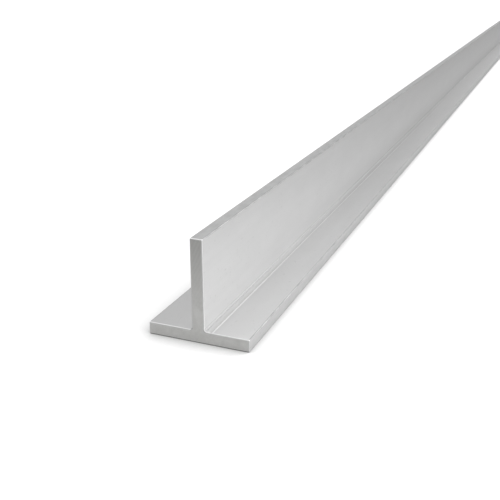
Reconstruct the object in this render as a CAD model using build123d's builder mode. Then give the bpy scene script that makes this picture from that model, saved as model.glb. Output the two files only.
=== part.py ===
"""Equal aluminium tee section: one extruded bar, sawn to length, lying on its flange.

The section stands in the XZ plane and the bar runs along Y. The origin is the middle of
the flange's underside, halfway along the bar. All sizes are in millimetres.
"""

import os

from build123d import *

# Section, as drawn on the die
flange_width = 25.0  # across the flange, along X
section_height = 25.0  # from the flange's underside to the top of the stem
flange_thickness = 3.0
stem_thickness = 3.0
root_radius = 0.5  # the two inside corners, where the stem meets the flange
corner_radius = 0.25  # the outside corners, which the die leaves almost sharp

# Bar, as cut for sale
bar_length = 1000.0
deburr = 0.2  # the arris taken off round both sawn ends


# Tee section bar
with BuildPart() as tee_section:
    with BuildSketch(Plane.XZ):
        with BuildLine():
            # The right half, from the middle of the underside up to the stem's top
            FilletPolyline(
                (0, 0),
                (flange_width / 2, 0),
                (flange_width / 2, flange_thickness),
                (stem_thickness / 2, flange_thickness),
                (stem_thickness / 2, section_height),
                (0, section_height),
                radius=[corner_radius, corner_radius, root_radius, corner_radius],
            )
            mirror(about=Plane.YZ)
        make_face()
    extrude(amount=bar_length / 2, both=True)

    sawn_ends = tee_section.faces().filter_by(Axis.Y)
    chamfer(sawn_ends.edges(), length=deburr)

tee_section.part.label = "tee_section"

os.makedirs("parts", exist_ok=True)
export_step(tee_section.part, "parts/tee_section.step")
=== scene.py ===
"""Aluminium tee section as it looks: one extruded bar, sawn square, lying on a pale floor."""

import math

import bpy
import numpy as np
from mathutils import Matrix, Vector


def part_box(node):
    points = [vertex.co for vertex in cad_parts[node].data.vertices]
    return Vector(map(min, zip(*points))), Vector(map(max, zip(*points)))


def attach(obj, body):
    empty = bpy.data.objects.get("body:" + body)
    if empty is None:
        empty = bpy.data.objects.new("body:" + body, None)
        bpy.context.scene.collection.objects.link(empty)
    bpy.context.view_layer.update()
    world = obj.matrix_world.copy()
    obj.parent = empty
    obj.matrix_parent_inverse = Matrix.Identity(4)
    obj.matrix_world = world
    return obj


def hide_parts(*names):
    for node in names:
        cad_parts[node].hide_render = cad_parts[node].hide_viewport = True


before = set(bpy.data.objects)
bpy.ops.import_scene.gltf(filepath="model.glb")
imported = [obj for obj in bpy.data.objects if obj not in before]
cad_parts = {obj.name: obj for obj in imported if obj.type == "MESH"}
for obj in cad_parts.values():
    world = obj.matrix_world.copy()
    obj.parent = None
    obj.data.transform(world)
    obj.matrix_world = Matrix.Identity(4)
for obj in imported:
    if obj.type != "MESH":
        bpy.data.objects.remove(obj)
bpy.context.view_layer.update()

MM = 0.001

# Section, in millimetres: the wall sizes and radii of the solid bar
FLANGE_THICKNESS = 3.0
STEM_THICKNESS = 3.0
ROOT_RADIUS = 0.5
CORNER_RADIUS = 0.25
DEBURR = 0.2  # the arris filed off round both sawn ends
FLAT_BESIDE_EDGE = 0.1  # width of the flat beside an edge, where the edge's finish fades out
TINY = 0.001  # a length that makes no difference
# Fine relief of the drawn surface
DIE_LINE_OUT = 1.95  # from the stem's side to the raised line on the flange
DIE_LINE_WIDTH = 0.2
DIE_LINE_HEIGHT = 0.065

# Wear and painted light by place: 0 is the drawn surface and 1 the bright metal of a filed arris
END_WEAR_AND_HIGHLIGHT = 0.15  # how far the bright metal and painted highlight reach from a sawn end's arris onto the flat, in millimetres
ROOT_PAINTED_LIGHT = 0.3  # painted light on the flange beside a root

# Dullness and painted shade by place over the section: 0 is clean metal and 1 the dullest and
# darkest
EDGE_DULLNESS_AND_SHADE = 0.55  # painted shade on the flange's long edges, which dims their highlight
TOP_EDGE_DULLNESS_AND_SHADE = 0.85  # of the stem's, painted shade too
TOP_DULLNESS_AND_SHADE = 0.45  # of the stem's narrow top, painted darker as shade
SIDE_DULLNESS_AND_SHADE = 0.25  # painted shade on the stem's side beside its top
# Up the stem's sides, painted shade that is darkest at the foot, by the root: pairs of the
# height above the root, in millimetres, and the amount there
STEM_DULLNESS_AND_SHADE = [(0.25, 0.5), (2, 0.42), (4, 0.26), (8, 0.04), (13, 0.03)]
ROOT_DULLNESS_AND_SHADE = 0.05, 0.85  # painted shade in a root's hollow, which hides its highlight, at the flange and from half way round
LINE_DULLNESS_AND_SHADE = 0.3, 0.2  # painted shade on the flange beside the die line, towards the stem and the edge
UNDERSIDE_DULLNESS_AND_SHADE = 0.38  # painted contact shadow on the flange's edge face beside the underside

# Painted light and shade that change along the bar: pairs of the distance from the nearer
# end, in millimetres, and the amount there
NEAR_END_PAINTED_LIGHT = [(0, 0.13), (40, 0)]  # painted light added on the flange's top near the end
ROOT_PAINTED_LIGHT_KEPT = [(60, 1), (160, 0.2)]  # share of the painted light beside a root
# Dullness and painted shade added by place, or taken away where it is below 0
HOLLOW_CHANGE = [(0, 0.15), (60, -0.12)]  # in the roots, painted darker near the ends
FLANGE_CHANGE = [(40, 0), (130, 0.13), (275, 0.1), (450, -0.07)]  # on the flange's top
STRIP_CHANGE = [(40, 0), (130, 0.36), (275, 0.36), (450, 0.1)]  # between root and die line
STRIP_BY_LINE = 0.6  # share of it right beside the die line
EDGE_CHANGE = [(0, 0.2), (60, 0.12), (130, 0), (275, -0.15)]  # on the flange's top edges
FOOT_CHANGE = [(30, 0), (60, -0.13), (100, -0.13), (200, 0.03), (500, 0.18)]  # low on the stem
STEM_CHANGE = [(60, -0.03), (137, 0.1), (275, 0.34)]  # and higher up its sides
FOOT_UP_TO, STEM_FROM = 9.0, 14.0  # heights where the one begins to fade and the other is full

# Overall sizes, in millimetres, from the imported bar
node_low, node_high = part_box("tee_section")
FLANGE_WIDTH, BAR_LENGTH, SECTION_HEIGHT = (
    (high - low) / MM for low, high in zip(node_low, node_high)
)

ARC_STEPS = 6
BEAD_STEPS = 8
RING_SPACING = 20.0  # between the cross sections along the bar


def linear(colour):
    """An sRGB hex colour such as "c8c8c6" as linear red, green, blue and alpha."""
    srgb = np.array([int(colour[i : i + 2], 16) for i in (0, 2, 4)]) / 255
    low, high = srgb / 12.92, ((srgb + 0.055) / 1.055) ** 2.4
    return (*np.where(srgb <= 0.04045, low, high).tolist(), 1.0)


def add(tree, kind, inputs=None, **settings):
    """Adds a node with its settings. An input that is a socket is linked, any other is a value."""
    made = tree.nodes.new(kind)
    for name, value in settings.items():
        setattr(made, name, value)
    for name, value in (inputs or {}).items():
        if isinstance(value, bpy.types.NodeSocket):
            tree.links.new(value, made.inputs[name])
        else:
            made.inputs[name].default_value = value
    return made


# Shape of the bar


def edge_arc(x, z, radius, first, last, arc_dull=EDGE_DULLNESS_AND_SHADE, flat_dull=(0, 0)):
    """Rounded outside edge about (x, z), from first to last degrees, with a flat at each side.

    A point is centre + radius (cos t, sin t) and its normal (cos t, sin t). The flats run on
    along the tangents, and the dullness and painted shade go across them from the arc's to
    their own.
    """
    t = np.radians(np.linspace(first, last, ARC_STEPS + 1))
    normal = np.stack([np.cos(t), np.sin(t)], axis=1)
    point = np.array([x, z]) + radius * normal
    along = np.stack([-normal[:, 1], normal[:, 0]], axis=1) * FLAT_BESIDE_EDGE
    point = np.concatenate([point[:1] - along[:1], point, point[-1:] + along[-1:]])
    normal = np.concatenate([normal[:1], normal, normal[-1:]])
    dull_and_shade = np.full(len(point), arc_dull)
    dull_and_shade[[0, -1]] = flat_dull
    return np.column_stack([point, normal, np.zeros(len(point)), dull_and_shade])


def root_arc(x, z, radius):
    """Hollow root between flange and stem about (x, z), from the flange round to the stem.

    A point is centre + radius (cos t, sin t) for t from 270 down to 180 degrees. The metal
    is outside the arc, so the normal points to the centre. The dullness and painted shade
    grow over the first half of the arc, and fall away up the stem's foot, as shade does by a
    root. The painted light is beside the flange.
    """
    t = np.radians(np.linspace(270, 180, ARC_STEPS + 1))
    inward = np.stack([np.cos(t), np.sin(t)], axis=1)
    point = np.array([x, z]) + radius * inward
    height, stem_dull = np.array(STEM_DULLNESS_AND_SHADE).T
    least, most = ROOT_DULLNESS_AND_SHADE
    out = point[:1] + [FLAT_BESIDE_EDGE, 0]
    up = point[-1] + height[:, None] * [0, 1]
    normal = -np.concatenate([inward[:1], inward, *[inward[-1:]] * len(height)])
    point = np.concatenate([out, point, up])
    # Painted shade in the hollow, full from half way round, hides its highlight
    hollow_dull = np.interp(t, np.radians([180, 225, 270]), [most, most, least])
    dull_and_shade = np.concatenate([[least], hollow_dull, stem_dull])
    wear_and_light = np.zeros(len(point))
    # Painted light on the flange beside the root
    wear_and_light[:3] = ROOT_PAINTED_LIGHT, ROOT_PAINTED_LIGHT, ROOT_PAINTED_LIGHT / 2
    return np.column_stack([point, normal, wear_and_light, dull_and_shade])


def die_line(x, z):
    """Low raised line on the flange's top, centred on x, as a nick in the die leaves it.

    Across its width, s runs from 1 to -1 and the height is half of 1 + cos(180 s) degrees
    times the full height. Its slope tips the normal. A painted highlight grows with it to its
    crest, and the flange beside it is painted shade, darker towards the stem.
    """
    s = np.linspace(1, -1, BEAD_STEPS + 1)
    rise = (1 + np.cos(np.pi * s)) / 2
    slope = -np.sin(np.pi * s) * np.pi * DIE_LINE_HEIGHT / DIE_LINE_WIDTH
    normal = np.stack([-slope, np.ones_like(s)], axis=1)
    normal /= np.linalg.norm(normal, axis=1, keepdims=True)
    point = np.stack([x + s * DIE_LINE_WIDTH / 2, z + rise * DIE_LINE_HEIGHT], axis=1)
    return np.column_stack([point, normal, rise, np.interp(s, [-1, 1], LINE_DULLNESS_AND_SHADE)])


def section_outline():
    """Tee outline, anticlockwise from the underside, in millimetres.

    Each row has x, z, the normal's x and z, wear and painted light, and dullness and painted
    shade. The left half is the right one's edges and root mirrored in x. The die line is only
    on the right.
    """
    side = FLANGE_WIDTH / 2 - CORNER_RADIUS
    stem = STEM_THICKNESS / 2
    flange_edges = [
        edge_arc(side, CORNER_RADIUS, CORNER_RADIUS, -90, 0, flat_dull=(0, UNDERSIDE_DULLNESS_AND_SHADE)),
        edge_arc(side, FLANGE_THICKNESS - CORNER_RADIUS, CORNER_RADIUS, 0, 90),
    ]
    root = root_arc(stem + ROOT_RADIUS, FLANGE_THICKNESS + ROOT_RADIUS, ROOT_RADIUS)
    top = edge_arc(stem - CORNER_RADIUS, SECTION_HEIGHT - CORNER_RADIUS, CORNER_RADIUS, 0, 90,
                   TOP_EDGE_DULLNESS_AND_SHADE, (SIDE_DULLNESS_AND_SHADE, TOP_DULLNESS_AND_SHADE))
    raised = die_line(stem + DIE_LINE_OUT, FLANGE_THICKNESS)
    left = np.concatenate([*flange_edges, root, top])[::-1] * np.array([-1, 1, -1, 1, 1, 1])
    return np.concatenate([*flange_edges, raised, root, top, left])


def length_stations():
    """Cross sections along the bar: place along Y, how far each is drawn in, its tilt, and its
    wear and painted highlight.

    At each end the tilt t goes from 90 degrees, facing outwards, to 0. There the section is
    deburr (1 - sin t) from the end and drawn in by deburr (1 - cos t), which rounds the arris.
    """
    tilt = np.radians(np.linspace(90, 0, ARC_STEPS + 1))
    from_end = DEBURR * (1 - np.sin(tilt))
    drawn_in = DEBURR * (1 - np.cos(tilt))
    near = np.column_stack([from_end, drawn_in, tilt, np.ones_like(tilt)])
    near = np.concatenate([near, [[DEBURR + END_WEAR_AND_HIGHLIGHT, 0, 0, 0]]])
    near[:, 0] -= BAR_LENGTH / 2
    count = round(BAR_LENGTH / RING_SPACING)
    middle = np.zeros((count - 1, 4))
    middle[:, 0] = np.linspace(-BAR_LENGTH / 2, BAR_LENGTH / 2, count + 1)[1:-1]
    far = near[::-1] * np.array([-1, 1, -1, 1])
    return np.concatenate([near, middle, far])


def finish_by_place(x, z, outline_wear_and_light, dull_and_shade, y, end_wear_and_highlight):
    """Wear and painted light, dullness and painted shade of each outline point on each cross
    section, as two grids.

    They are the outline's own, changed with the distance from the nearer end. The arris of a
    sawn end is bright filed metal, partly a painted highlight, but not in a root, and
    underneath it is painted dark as a contact shadow.
    """
    from_end = BAR_LENGTH / 2 - np.abs(y)

    def along(pairs):
        return np.interp(from_end, *np.array(pairs).T)[:, None]

    out = np.abs(x)
    stem_side = STEM_THICKNESS / 2
    in_root = (z > FLANGE_THICKNESS - TINY) & (z < FLANGE_THICKNESS + ROOT_RADIUS)
    in_root &= out < stem_side + ROOT_RADIUS
    on_flange = (z > FLANGE_THICKNESS - TINY) & (z < FLANGE_THICKNESS + DIE_LINE_HEIGHT + TINY)
    on_flange &= ~in_root
    in_strip = on_flange & (x > 0) & (x < stem_side + DIE_LINE_OUT)
    on_edge = z > FLANGE_THICKNESS - CORNER_RADIUS - TINY
    on_edge &= out > FLANGE_WIDTH / 2 - CORNER_RADIUS - TINY
    on_stem = (z >= FLANGE_THICKNESS + ROOT_RADIUS) & (z < SECTION_HEIGHT - CORNER_RADIUS)

    # The die line's painted highlight is the only painted light further out than the flat beside a
    # root
    up_to_root = out < stem_side + ROOT_RADIUS + 2 * FLAT_BESIDE_EDGE
    wear_and_light = np.where(up_to_root, outline_wear_and_light * along(ROOT_PAINTED_LIGHT_KEPT), outline_wear_and_light)
    # Painted light on the flange's top near the end
    wear_and_light = np.minimum(wear_and_light + on_flange * along(NEAR_END_PAINTED_LIGHT), 1)

    # Dullness and painted shade that change along the bar, added by place
    root_to_line = [stem_side + ROOT_RADIUS, stem_side + DIE_LINE_OUT]
    strip = along(STRIP_CHANGE) * np.interp(x, root_to_line, [1, STRIP_BY_LINE])
    upper = np.interp(z, [FOOT_UP_TO, STEM_FROM], [0, 1])
    change = in_root * along(HOLLOW_CHANGE)
    change = change + np.where(in_strip, strip, on_flange * along(FLANGE_CHANGE))
    change = change + on_edge * along(EDGE_CHANGE)
    change = change + on_stem * (upper * along(STEM_CHANGE) + (1 - upper) * along(FOOT_CHANGE))

    # Under a sawn end's arris, no bright metal but painted shade as contact shadow
    underneath = z < CORNER_RADIUS
    at_end = end_wear_and_highlight[:, None]
    wear_and_light = np.maximum(wear_and_light, np.where(underneath | in_root, 0, at_end))
    dullness_and_shade = np.where(at_end > 0, 0, dull_and_shade + change)
    return wear_and_light, np.maximum(dullness_and_shade, underneath * at_end)


def bar_mesh():
    """The section carried along Y: a grid of cross sections by outline points, closed by two ends.

    Each outline point is moved in along its normal by the station's inset, and its normal
    tilts towards the end. The ends are single faces on the first and last cross section.
    """
    x, z, normal_x, normal_z, outline_wear_and_light, dull_and_shade = section_outline().T
    y, drawn_in, tilt, end_wear_and_highlight = length_stations().T
    rings, around = len(y), len(x)
    points = np.stack([
        x - normal_x * drawn_in[:, None],
        np.broadcast_to(y[:, None], (rings, around)),
        z - normal_z * drawn_in[:, None],
    ], axis=2)
    normals = np.stack([
        normal_x * np.cos(tilt)[:, None],
        np.broadcast_to(-np.sin(tilt)[:, None], (rings, around)),
        normal_z * np.cos(tilt)[:, None],
    ], axis=2)

    ring, place = np.meshgrid(np.arange(rings - 1), np.arange(around), indexing="ij")
    onward = (place + 1) % around
    sides = np.stack([
        ring * around + place,
        (ring + 1) * around + place,
        (ring + 1) * around + onward,
        ring * around + onward,
    ], axis=2).reshape(-1, 4)
    front = np.arange(around)
    back = front[::-1] + (rings - 1) * around

    mesh = bpy.data.meshes.new("tee_bar")
    mesh.from_pydata(
        (points.reshape(-1, 3) * MM).tolist(), [], [*sides.tolist(), front.tolist(), back.tolist()]
    )
    wear_and_light, dullness_and_shade = finish_by_place(x, z, outline_wear_and_light, dull_and_shade, y, end_wear_and_highlight)
    # Long edges, edge faces and top, which meet what the bar is stacked with
    exposed = z > SECTION_HEIGHT - CORNER_RADIUS - TINY
    exposed |= np.abs(x) > FLANGE_WIDTH / 2 - CORNER_RADIUS - TINY
    scuffs = np.broadcast_to(exposed, (rings, around))
    for name, amount in (("wear_and_light", wear_and_light), ("dullness_and_shade", dullness_and_shade), ("scuffs", scuffs)):
        stored = mesh.attributes.new(name, "FLOAT", "POINT")
        stored.data.foreach_set("value", amount.astype(np.float32).ravel())

    # Flat layout in metres: u runs round the section and v along the bar
    step = np.hypot(np.diff(x, append=x[0]), np.diff(z, append=z[0]))
    round_section = np.concatenate([[0], np.cumsum(step)])
    u = np.stack([round_section[place], round_section[place], round_section[place + 1],
                  round_section[place + 1]], axis=2)
    v = np.stack([y[ring], y[ring + 1], y[ring + 1], y[ring]], axis=2) + BAR_LENGTH / 2
    long_faces = np.stack([u, v], axis=3).reshape(-1, 2)
    end_faces = np.stack([x, z], axis=1) + round_section[-1] + FLANGE_WIDTH
    layout = np.concatenate([long_faces, end_faces, end_faces[::-1] + [FLANGE_WIDTH, 0]]) * MM
    uv = mesh.uv_layers.new(name="flat_layout")
    uv.data.foreach_set("uv", layout.astype(np.float32).ravel())
    finish = np.zeros(len(mesh.polygons), np.int32)
    finish[-2:] = 1  # the two sawn ends
    mesh.polygons.foreach_set("material_index", finish)
    mesh.polygons.foreach_set("use_smooth", np.ones(len(mesh.polygons), bool))
    mesh.normals_split_custom_set_from_vertices(normals.reshape(-1, 3).tolist())
    mesh.validate()
    return mesh


# Materials


def new_metal(name):
    """A new material with its node tree, its shader set to bare metal, and object coordinates."""
    material = bpy.data.materials.new(name)
    material.use_nodes = True
    tree = material.node_tree
    shader = tree.nodes["Principled BSDF"]
    shader.inputs["Metallic"].default_value = 1.0
    return material, tree, shader, add(tree, "ShaderNodeTexCoord").outputs["Object"]


def noise(tree, place, grain, detail):
    """Noise whose grains have the given sizes along X, Y and Z, in millimetres."""
    scale = tuple(1 / (size * MM) for size in grain)
    moved = add(tree, "ShaderNodeMapping", {"Vector": place, "Scale": scale})
    made = add(tree, "ShaderNodeTexNoise", {
        "Vector": moved.outputs["Vector"], "Scale": 1.0, "Detail": detail,
    })
    return made.outputs["Fac"]


def spread(tree, value, low, high, start=0.3, end=0.7):
    """The value between start and end, stretched to run from low to high.

    Left out, start and end are the range that most of a noise lies in.
    """
    return add(tree, "ShaderNodeMapRange", {
        "Value": value, "From Min": start, "From Max": end, "To Min": low, "To Max": high,
    }).outputs["Result"]


def blend(tree, factor, first, second):
    """From the first colour to the second by the factor."""
    return add(tree, "ShaderNodeMix", {
        "Factor": factor, "A": first, "B": second,
    }, data_type="RGBA").outputs["Result"]


# Sizes of the satin finish's patterns along X, Y and Z, in millimetres. Drawn lines and specks
# are finer on real bars, and are drawn as coarse as they need to be to show.
DRAWN_LINES = (0.5, 90, 0.5)
STREAKS = (3, 260, 3)
CLOUDS = (6, 14, 6)
SPECKS = (0.7, 1.4, 0.7)
SCUFFS = (1.4, 4, 1.4)
ROUGHNESS = 0.48, 0.52  # least and most, over the drawn lines
DULL_ROUGHNESS = 0.56
BUMP_DEPTH = 0.01  # of the drawn lines and the saw marks, in millimetres


def satin_aluminium():
    """Extruded aluminium, mill finish: pressed through a die, so even and satin, with faint
    lines along its length, a slight cloudiness and small specks. The roots, the stem's foot,
    the long edges and the top are a little rougher and painted darker as shade, the edges and
    top patch by patch where they were scuffed. The deburred ends are bright metal, partly a
    painted highlight; the die line's crest has a painted highlight, and the flange beside the
    roots and near the ends painted light. The painted light and shade change slowly along the
    bar."""
    material, tree, shader, place = new_metal("extruded_mill_finish_aluminium")
    drawn_lines = noise(tree, place, DRAWN_LINES, 2.0)
    streaks = noise(tree, place, STREAKS, 1.0)
    clouds = noise(tree, place, CLOUDS, 3.0)
    specks = noise(tree, place, SPECKS, 1.0)
    patches = spread(tree, noise(tree, place, SCUFFS, 2.0), 0.6, 1.4)
    wear_and_light, dull_by_place, scuffs = (
        add(tree, "ShaderNodeAttribute", attribute_name=name).outputs["Fac"]
        for name in ("wear_and_light", "dullness_and_shade", "scuffs")
    )
    # Dullness and painted shade come in patches where the surface is scuffed, and are even
    # elsewhere
    uneven = add(tree, "ShaderNodeMix", {"Factor": scuffs, "A": 1.0, "B": patches})
    dullness_and_shade = add(tree, "ShaderNodeMath", {
        0: dull_by_place, 1: uneven.outputs["Result"],
    }, operation="MULTIPLY").outputs["Value"]

    colour = blend(tree, spread(tree, drawn_lines, 0.0, 1.0), linear("c9c9c9"), linear("cdcdcd"))
    colour = blend(tree, spread(tree, streaks, 0.0, 0.3), colour, linear("d2d2d2"))
    colour = blend(tree, spread(tree, clouds, 0.0, 0.3), colour, linear("c2c2c2"))
    # Only the peaks of their noise are specks
    colour = blend(tree, spread(tree, specks, 0.0, 0.4, 0.66, 0.8), colour, linear("b2b2b2"))
    # Painted shade with the dullness: darker in the roots, at the stem's foot, on the edges and
    # top, under the ends
    colour = blend(tree, dullness_and_shade, colour, linear("a6a6a6"))
    # Bright filed metal at the ends, partly a painted highlight, and painted light on the die
    # line's crest and near the ends
    colour = blend(tree, wear_and_light, colour, linear("eaeaea"))
    tree.links.new(colour, shader.inputs["Base Color"])

    # The fine lines along the length spread reflections across the bar, not along it
    shader.inputs["Anisotropic"].default_value = 0.7
    round_section = add(tree, "ShaderNodeTangent", direction_type="UV_MAP", uv_map="flat_layout")
    tree.links.new(round_section.outputs["Tangent"], shader.inputs["Tangent"])
    rough = spread(tree, drawn_lines, *ROUGHNESS)
    rough = add(tree, "ShaderNodeMix", {"Factor": dullness_and_shade, "A": rough, "B": DULL_ROUGHNESS})
    tree.links.new(rough.outputs["Result"], shader.inputs["Roughness"])
    bump = add(tree, "ShaderNodeBump", {
        "Height": drawn_lines, "Strength": 0.2, "Distance": BUMP_DEPTH * MM,
    })
    tree.links.new(bump.outputs["Normal"], shader.inputs["Normal"])
    return material


BLADE_CENTRE = (-80.0, 0.0, 60.0)  # of the saw's curved marks, in millimetres
SAW_MARK = 0.8  # between marks, wider than real ones so that they show
WAVE_LENGTH = 2 * math.pi / 20  # of Blender's wave texture at a scale of 1
MOTTLE = (1.6, 1.6, 1.6)  # size of the sawn face's cloudy spots, in millimetres
DARKER_FROM = 0.3  # share of the section's height from which it is painted darker, as shade, up to the top


def sawn_aluminium():
    """Aluminium sawn across: duller than the drawn faces and a little warm, mottled, painted
    darker towards the stem's top as shade, with the faint curved marks of a circular blade."""
    material, tree, shader, place = new_metal("sawn_aluminium")
    from_blade = add(tree, "ShaderNodeVectorMath", {
        0: place, 1: tuple(-MM * along for along in BLADE_CENTRE),
    }, operation="ADD")
    marks = add(tree, "ShaderNodeTexWave", {
        "Vector": from_blade.outputs["Vector"], "Scale": WAVE_LENGTH / (SAW_MARK * MM),
        "Distortion": 1.5, "Detail": 2.0, "Detail Scale": 1.0,
    }, wave_type="RINGS", rings_direction="Y").outputs["Fac"]
    mottle = noise(tree, place, MOTTLE, 3.0)
    height = add(tree, "ShaderNodeSeparateXYZ", {"Vector": place}).outputs["Z"]

    top = SECTION_HEIGHT * MM
    # Painted shade, darker towards the top
    colour = blend(tree, spread(tree, height, 0.0, 1.0, DARKER_FROM * top, top),
                   linear("f4f4f2"), linear("c4c4c2"))
    colour = blend(tree, spread(tree, mottle, 0.0, 0.35), colour, linear("d4d4d1"))
    colour = blend(tree, spread(tree, marks, 0.0, 0.12, 0.0, 1.0), colour, linear("f2f2f0"))
    tree.links.new(colour, shader.inputs["Base Color"])
    tree.links.new(spread(tree, mottle, 0.5, 0.58), shader.inputs["Roughness"])
    bump = add(tree, "ShaderNodeBump", {
        "Height": marks, "Strength": 0.15, "Distance": BUMP_DEPTH * MM,
    })
    tree.links.new(bump.outputs["Normal"], shader.inputs["Normal"])
    return material


# Bar


def tee_bar():
    """The bar as one piece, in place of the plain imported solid."""
    bar = bpy.data.objects.new("tee_bar", bar_mesh())
    bpy.context.scene.collection.objects.link(bar)
    bar.data.materials.append(satin_aluminium())
    bar.data.materials.append(sawn_aluminium())
    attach(bar, "root")
    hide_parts("tee_section")


# Studio

IMAGE_SIDE = 500
FOCAL_LENGTH = 756.7  # in pixels of the image
SENSOR_WIDTH = 36.0  # millimetres
CAMERA_PLACE = Vector((68.63, -637.06, 80.32))  # millimetres
CAMERA_AZIMUTH = 22.22  # degrees round from the bar's front
CAMERA_ELEVATION = 20.73  # degrees above level


def camera():
    """Close to the bar's near end, right of it and above, looking down along the bar."""
    data = bpy.data.cameras.new("camera")
    data.sensor_width = SENSOR_WIDTH
    data.lens = FOCAL_LENGTH * SENSOR_WIDTH / IMAGE_SIDE
    data.clip_start, data.clip_end = 1 * MM, 100
    seen_from = bpy.data.objects.new("camera", data)
    bpy.context.scene.collection.objects.link(seen_from)
    azimuth, elevation = math.radians(CAMERA_AZIMUTH), math.radians(CAMERA_ELEVATION)
    back = Vector((
        math.sin(azimuth) * math.cos(elevation),
        -math.cos(azimuth) * math.cos(elevation),
        math.sin(elevation),
    ))
    seen_from.location = CAMERA_PLACE * MM
    seen_from.rotation_mode = "QUATERNION"
    seen_from.rotation_quaternion = (-back).to_track_quat("-Z", "Y")
    bpy.context.scene.camera = seen_from


CONTACT_REACH = 7.0  # millimetres from the bar within which the floor darkens towards it
CONTACT_LEAN = (0.18, 0.2, 0.95)  # direction of most light, so that it darkens less on that side
COVERED, OPEN = 0.3, 1.0  # shares of clear air that count as covered floor and as open floor
WHITE_TO_CAMERA = 0.17  # white that the open floor adds to its own shading, for the camera
WHITE_IN_METAL = 0.02  # and for the reflections in the bar
FLOOR_SIDE = 12.0  # metres
FLOOR_GAP = 0.02  # millimetres that the floor lies below the bar, so that no faces coincide


def floor():
    """Level floor under the bar, plain and pale. It darkens close to the bar, as if no light
    got in there, and most of all on the side away from the lamp."""
    side, gap = FLOOR_SIDE / 2, FLOOR_GAP * MM
    mesh = bpy.data.meshes.new("floor")
    mesh.from_pydata(
        [(-side, -side, -gap), (side, -side, -gap), (side, side, -gap), (-side, side, -gap)],
        [], [(0, 1, 2, 3)],
    )
    ground = bpy.data.objects.new("floor", mesh)
    bpy.context.scene.collection.objects.link(ground)
    material = bpy.data.materials.new("pale_floor")
    material.use_nodes = True
    tree = material.node_tree
    tree.nodes.clear()
    rays = add(tree, "ShaderNodeLightPath").outputs
    mirrored = add(tree, "ShaderNodeMath", {
        0: rays["Is Glossy Ray"], 1: rays["Is Transmission Ray"],
    }, operation="MAXIMUM")
    in_metal = add(tree, "ShaderNodeMath", {
        0: mirrored.outputs["Value"], 1: WHITE_IN_METAL,
    }, operation="MULTIPLY")
    lean = add(tree, "ShaderNodeCombineXYZ", dict(zip("XYZ", CONTACT_LEAN)))
    sheltered = add(tree, "ShaderNodeAmbientOcclusion", {
        "Distance": CONTACT_REACH * MM, "Normal": lean.outputs["Vector"],
    }, samples=8)
    open_round = spread(tree, sheltered.outputs["AO"], 0.0, 1.0, COVERED, OPEN)
    to_camera = add(tree, "ShaderNodeMath", {
        0: open_round, 1: WHITE_TO_CAMERA,
    }, operation="MULTIPLY")
    strength = add(tree, "ShaderNodeMath", {
        0: rays["Is Camera Ray"], 1: to_camera.outputs["Value"], 2: in_metal.outputs["Value"],
    }, operation="MULTIPLY_ADD")
    white = add(tree, "ShaderNodeEmission", {
        "Color": (1, 1, 1, 1), "Strength": strength.outputs["Value"],
    })
    seen = blend(tree, open_round, linear("c4c4c4"), linear("fafafa"))
    colour = blend(tree, rays["Is Camera Ray"], linear("acacac"), seen)
    plain = add(tree, "ShaderNodeBsdfDiffuse", {"Color": colour})
    both = add(tree, "ShaderNodeAddShader", {
        0: plain.outputs["BSDF"], 1: white.outputs["Emission"],
    })
    add(tree, "ShaderNodeOutputMaterial", {"Surface": both.outputs["Shader"]})
    ground.data.materials.append(material)


LAMP_WIDTH, LAMP_HEIGHT = 0.9, 0.78  # metres
LAMP_PLACE = (1.88, 1.41, 0.54)  # metres
LAMP_RADIANCE = 12.9
HORIZON, UPPER_SKY = 0.05, 1.14  # how bright the surroundings are, low down and above
HORIZON_UP_TO, UPPER_SKY_FROM = 6.0, 20.0  # degrees above level, with a ramp between
BRIGHTER_TOWARDS = (0.2, -0.06, 0.0)  # share added straight to the right and towards the front


def softbox():
    """Soft lamp, low on the right and further back than the bar, facing the bar's near end."""
    data = bpy.data.lights.new("softbox", "AREA")
    data.shape = "RECTANGLE"
    data.size, data.size_y = LAMP_WIDTH, LAMP_HEIGHT
    data.energy = math.pi * LAMP_WIDTH * LAMP_HEIGHT * LAMP_RADIANCE
    lamp = bpy.data.objects.new("softbox", data)
    lamp.location = LAMP_PLACE
    towards_end = Vector((0, -BAR_LENGTH / 2 * MM, 0)) - lamp.location
    lamp.rotation_mode = "QUATERNION"
    lamp.rotation_quaternion = towards_end.to_track_quat("-Z", "Y")
    lamp.visible_camera = False
    bpy.context.scene.collection.objects.link(lamp)


def surroundings():
    """Pale studio above a dark horizon, a little brighter to the right, white to the camera."""
    world = bpy.data.worlds.new("studio")
    bpy.context.scene.world = world
    world.use_nodes = True
    tree = world.node_tree
    tree.nodes.clear()
    direction = add(tree, "ShaderNodeTexCoord").outputs["Generated"]
    height = add(tree, "ShaderNodeSeparateXYZ", {"Vector": direction}).outputs["Z"]
    pale = add(tree, "ShaderNodeMapRange", {
        "Value": height, "From Min": math.sin(math.radians(HORIZON_UP_TO)),
        "From Max": math.sin(math.radians(UPPER_SKY_FROM)), "To Min": HORIZON, "To Max": UPPER_SKY,
    })
    side = add(tree, "ShaderNodeVectorMath", {
        0: direction, 1: BRIGHTER_TOWARDS,
    }, operation="DOT_PRODUCT")
    pale = add(tree, "ShaderNodeMath", {
        0: side.outputs["Value"], 1: pale.outputs["Result"], 2: pale.outputs["Result"],
    }, operation="MULTIPLY_ADD")
    rays = add(tree, "ShaderNodeLightPath").outputs
    strength = add(tree, "ShaderNodeMix", {
        "Factor": rays["Is Camera Ray"], "A": pale.outputs["Value"], "B": 1.0,
    })
    sky = add(tree, "ShaderNodeBackground", {
        "Color": (1, 1, 1, 1), "Strength": strength.outputs["Result"],
    })
    add(tree, "ShaderNodeOutputWorld", {"Surface": sky.outputs["Background"]})


bpy.context.scene.view_settings.view_transform = "Standard"
camera()
tee_bar()
floor()
softbox()
surroundings()
